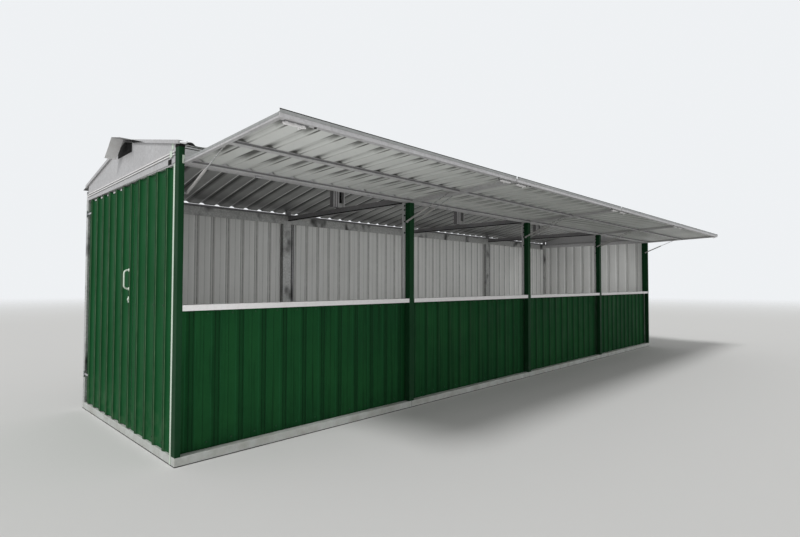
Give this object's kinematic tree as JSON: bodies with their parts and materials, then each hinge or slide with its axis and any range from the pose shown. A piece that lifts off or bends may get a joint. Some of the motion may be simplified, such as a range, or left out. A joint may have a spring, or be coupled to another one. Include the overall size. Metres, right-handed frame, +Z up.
{
  "type": "market sales kiosk",
  "caption": "Long ribbed sheet-metal sales kiosk with lift-up serving flaps on gas struts, a counter along the front, an end door and a low gable roof.",
  "frame": {"origin": "middle of the whole part's box, on the ground", "axes": "+X along the front to the right as the customer sees it, +Y from the front to the back, +Z up"},
  "size_m": [9.14, 3.4758, 2.3618],
  "materials": {
    "green_sheet": "satin moss green",
    "dark_paint": "satin dark green",
    "zinc_tube": "galvanised",
    "zinc_sheet": "galvanised sheet",
    "strut_grey": "grey",
    "strut_black": "dark",
    "fitting_black": "grey"
  },
  "bodies": {
    "frame": {"base_rail_front": "zinc_tube", "base_rail_rear": "zinc_tube", "base_rails_end": "zinc_tube", "counter_rails": "zinc_tube", "door_jamb": "zinc_tube", "eave_rails": "zinc_tube", "fixed_hinges": "zinc_tube", "front_panel_1": "green_sheet", "front_panel_2": "green_sheet", "front_panel_3": "green_sheet", "front_panel_4": "green_sheet", "front_posts": "dark_paint", "gable_left": "zinc_sheet", "gable_right": "zinc_sheet", "left_wall_panel": "green_sheet", "rear_panels": "green_sheet", "rear_posts": "zinc_tube", "ridge_beam": "zinc_tube", "ridge_cap": "zinc_sheet", "right_wall_panel": "green_sheet", "roof_sheet_front": "zinc_sheet", "roof_sheet_rear": "zinc_sheet", "roof_trusses": "zinc_tube", "top_rail_front": "zinc_tube", "top_rail_rear": "zinc_tube", "top_rails_end": "zinc_tube"},
    "flap_1": {"flap_frame_1": "zinc_tube", "flap_sheet_1": "zinc_sheet"},
    "strut_body_1": {"strut_bodies_1": "strut_grey"},
    "strut_rod_1": {"strut_rods_1": "strut_black"},
    "flap_2": {"flap_frame_2": "zinc_tube", "flap_sheet_2": "zinc_sheet"},
    "strut_body_2": {"strut_bodies_2": "strut_grey"},
    "strut_rod_2": {"strut_rods_2": "strut_black"},
    "flap_3": {"flap_frame_3": "zinc_tube", "flap_sheet_3": "zinc_sheet"},
    "strut_body_3": {"strut_bodies_3": "strut_grey"},
    "strut_rod_3": {"strut_rods_3": "strut_black"},
    "flap_4": {"flap_frame_4": "zinc_tube", "flap_sheet_4": "zinc_sheet"},
    "strut_body_4": {"strut_bodies_4": "strut_grey"},
    "strut_rod_4": {"strut_rods_4": "strut_black"},
    "door": {"door_frame": "zinc_tube", "door_sheet": "green_sheet", "door_handle": "fitting_black"}
  },
  "joints": [
    {"name": "flap_hinge_1", "type": "hinge", "parent": "frame", "child": "flap_1", "pos_m": [-3.33825, -0.57795, 1.977], "axis": [1, 0, 0], "range_deg": [0, 92]},
    {"name": "strut_pivot_1", "type": "hinge", "parent": "frame", "child": "strut_body_1", "pos_m": [-3.33825, -0.53595, 1.797], "axis": [1, 0, 0], "range_deg": [0, 100.89]},
    {"name": "strut_slide_1", "type": "slide", "parent": "strut_body_1", "child": "strut_rod_1", "axis": [0, -0.9253, 0.3792], "range_m": [-0.2577, 0]},
    {"name": "flap_hinge_2", "type": "hinge", "parent": "frame", "child": "flap_2", "pos_m": [-1.11275, -0.57795, 1.977], "axis": [1, 0, 0], "range_deg": [0, 92]},
    {"name": "strut_pivot_2", "type": "hinge", "parent": "frame", "child": "strut_body_2", "pos_m": [-1.11275, -0.53595, 1.797], "axis": [1, 0, 0], "range_deg": [0, 100.89]},
    {"name": "strut_slide_2", "type": "slide", "parent": "strut_body_2", "child": "strut_rod_2", "axis": [0, -0.9253, 0.3792], "range_m": [-0.2577, 0]},
    {"name": "flap_hinge_3", "type": "hinge", "parent": "frame", "child": "flap_3", "pos_m": [1.11275, -0.57795, 1.977], "axis": [1, 0, 0], "range_deg": [0, 92]},
    {"name": "strut_pivot_3", "type": "hinge", "parent": "frame", "child": "strut_body_3", "pos_m": [1.11275, -0.53595, 1.797], "axis": [1, 0, 0], "range_deg": [0, 100.89]},
    {"name": "strut_slide_3", "type": "slide", "parent": "strut_body_3", "child": "strut_rod_3", "axis": [0, -0.9253, 0.3792], "range_m": [-0.2577, 0]},
    {"name": "flap_hinge_4", "type": "hinge", "parent": "frame", "child": "flap_4", "pos_m": [3.33825, -0.57795, 1.977], "axis": [1, 0, 0], "range_deg": [0, 92]},
    {"name": "strut_pivot_4", "type": "hinge", "parent": "frame", "child": "strut_body_4", "pos_m": [3.33825, -0.53595, 1.797], "axis": [1, 0, 0], "range_deg": [0, 100.89]},
    {"name": "strut_slide_4", "type": "slide", "parent": "strut_body_4", "child": "strut_rod_4", "axis": [0, -0.9253, 0.3792], "range_m": [-0.2577, 0]},
    {"name": "door_hinge", "type": "hinge", "parent": "frame", "child": "door", "pos_m": [-4.48, 1.58005, 1], "axis": [0, 0, -1], "range_deg": [0, 100]}
  ],
  "couplings": [
    {"joint": "strut_pivot_1", "follows": "flap_hinge_1", "ratio": 1.0966},
    {"joint": "strut_slide_1", "follows": "flap_hinge_1", "m_per_rad": -0.16043},
    {"joint": "strut_pivot_2", "follows": "flap_hinge_2", "ratio": 1.0966},
    {"joint": "strut_slide_2", "follows": "flap_hinge_2", "m_per_rad": -0.16043},
    {"joint": "strut_pivot_3", "follows": "flap_hinge_3", "ratio": 1.0966},
    {"joint": "strut_slide_3", "follows": "flap_hinge_3", "m_per_rad": -0.16043},
    {"joint": "strut_pivot_4", "follows": "flap_hinge_4", "ratio": 1.0966},
    {"joint": "strut_slide_4", "follows": "flap_hinge_4", "m_per_rad": -0.16043}
  ]
}
